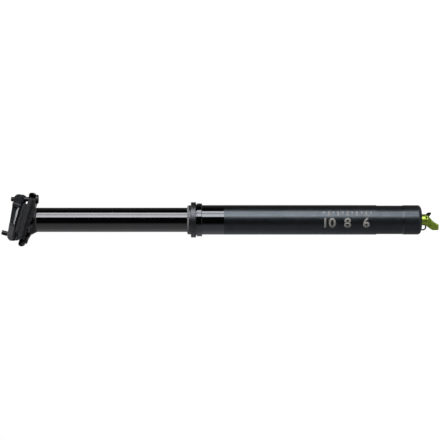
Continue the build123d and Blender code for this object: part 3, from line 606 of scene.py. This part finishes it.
bpy.ops.object.select_all(action="DESELECT")
bpy.ops.mesh.primitive_circle_add(
    vertices=96,
    radius=FLOOR_RADIUS,
    fill_type="NGON",
    location=(0, 0, cad_box[0][2] - FLOOR_DROP),
)
floor = bpy.context.object
floor.name = "studio_floor"
floor_white, tree, shader = new_finish("floor_white")
shader.inputs["Base Color"].default_value = (FLOOR_GREY, FLOOR_GREY, FLOOR_GREY, 1)
shader.inputs["Roughness"].default_value = 0.7
shader.inputs["Emission Color"].default_value = (1, 1, 1, 1)
rays = tree.nodes.new("ShaderNodeLightPath")
seen = reckon(
    tree, "MAXIMUM", rays.outputs["Is Camera Ray"], rays.outputs["Is Transmission Ray"]
)
feed(tree, shader.inputs["Emission Strength"], reckon(tree, "MULTIPLY", seen, FLOOR_GLOW))
floor.data.materials.append(floor_white)

# Room: dark where the soft boxes stand, with dim panels towards the rear. Its glow goes by
# compass, in degrees from the viewer's side, plus towards the front of the bicycle.
ROOM_GLOW = (
    (-180, 0.25), (-132, 0.46), (-108, 0.58), (-92, 0.42), (-45, 0.29), (-27, 0.012),
    (92, 0.012), (128, 0.10), (180, 0.20),
)

world = bpy.data.worlds.new("dim_room")
bpy.context.scene.world = world
world.use_nodes = True
room = world.node_tree
room.nodes.clear()
way = room.nodes.new("ShaderNodeTexCoord")
split = room.nodes.new("ShaderNodeSeparateXYZ")
room.links.new(way.outputs["Generated"], split.inputs["Vector"])
toward = reckon(room, "MULTIPLY", split.outputs["Y"], -1.0)
compass = reckon(room, "ARCTAN2", split.outputs["X"], toward)
glow = room.nodes.new("ShaderNodeValToRGB")
stops = glow.color_ramp.elements
while len(stops) < len(ROOM_GLOW):
    stops.new(0.5)
for stop, (azimuth, value) in zip(stops, ROOM_GLOW):
    stop.position = (azimuth + 180) / 360
    stop.color = (value, value, value, 1)
room.links.new(spread(room, compass, 0.0, 1.0, -math.pi, math.pi), glow.inputs["Fac"])
felt = room.nodes.new("ShaderNodeBackground")
room.links.new(glow.outputs["Color"], felt.inputs["Color"])
seen = room.nodes.new("ShaderNodeBackground")
seen.inputs["Color"].default_value = (1, 1, 1, 1)
rays = room.nodes.new("ShaderNodeLightPath")
pick = room.nodes.new("ShaderNodeMixShader")
room.links.new(rays.outputs["Is Camera Ray"], pick.inputs["Fac"])
room.links.new(felt.outputs[0], pick.inputs[1])
room.links.new(seen.outputs[0], pick.inputs[2])
out = room.nodes.new("ShaderNodeOutputWorld")
room.links.new(pick.outputs[0], out.inputs["Surface"])

# Lights: two tall soft boxes in front of the post, by compass as above, and one lamp over
# the saddle end.
MIDDLE = Vector((0, 0, -0.02))
BOX_DISTANCE = 1.5
BOX_HEIGHT = 2.2
BOXES = (("box_near", 35.0, 0.58, 5.0), ("box_far", 60.5, 0.54, 4.5))


def soft_box(name, way_out, wide, tall, radiance):
    """Hang a soft box out along a direction from the post, facing it."""
    bpy.ops.object.select_all(action="DESELECT")
    bpy.ops.object.light_add(type="AREA")
    lamp = bpy.context.object
    lamp.name = name
    lamp.data.shape = "RECTANGLE"
    lamp.data.size = wide
    lamp.data.size_y = tall
    lamp.data.energy = radiance * wide * tall * math.pi
    lamp.location = MIDDLE + Vector(way_out).normalized() * BOX_DISTANCE
    lamp.rotation_euler = (MIDDLE - lamp.location).to_track_quat("-Z", "Y").to_euler()


for name, azimuth, wide, radiance in BOXES:
    turn = math.radians(azimuth)
    soft_box(name, (math.sin(turn), -math.cos(turn), 0), wide, BOX_HEIGHT, radiance)
soft_box("lamp_saddle_end", (0.25, 0.46, 0.85), 0.7, 0.7, 4.0)

# Camera: a long lens at the bicycle's right side, rolled so that the saddle end is at the
# left of the picture and the front of the bicycle is up.
LENS_DISTANCE = 2.2
FRAME_WIDTH = 0.4713
SENSOR_WIDTH = 36.0
VIEW_X, VIEW_Z = -0.00014, -0.01928

camera_data = bpy.data.cameras.new("side_camera")
camera_data.sensor_width = SENSOR_WIDTH
camera_data.lens = SENSOR_WIDTH * LENS_DISTANCE / FRAME_WIDTH
camera = bpy.data.objects.new("side_camera", camera_data)
bpy.context.collection.objects.link(camera)
camera.matrix_world = Matrix((
    (0, 1, 0, VIEW_X),
    (0, 0, -1, -LENS_DISTANCE),
    (-1, 0, 0, VIEW_Z),
    (0, 0, 0, 1),
))
bpy.context.scene.camera = camera
bpy.context.scene.view_settings.view_transform = "Standard"
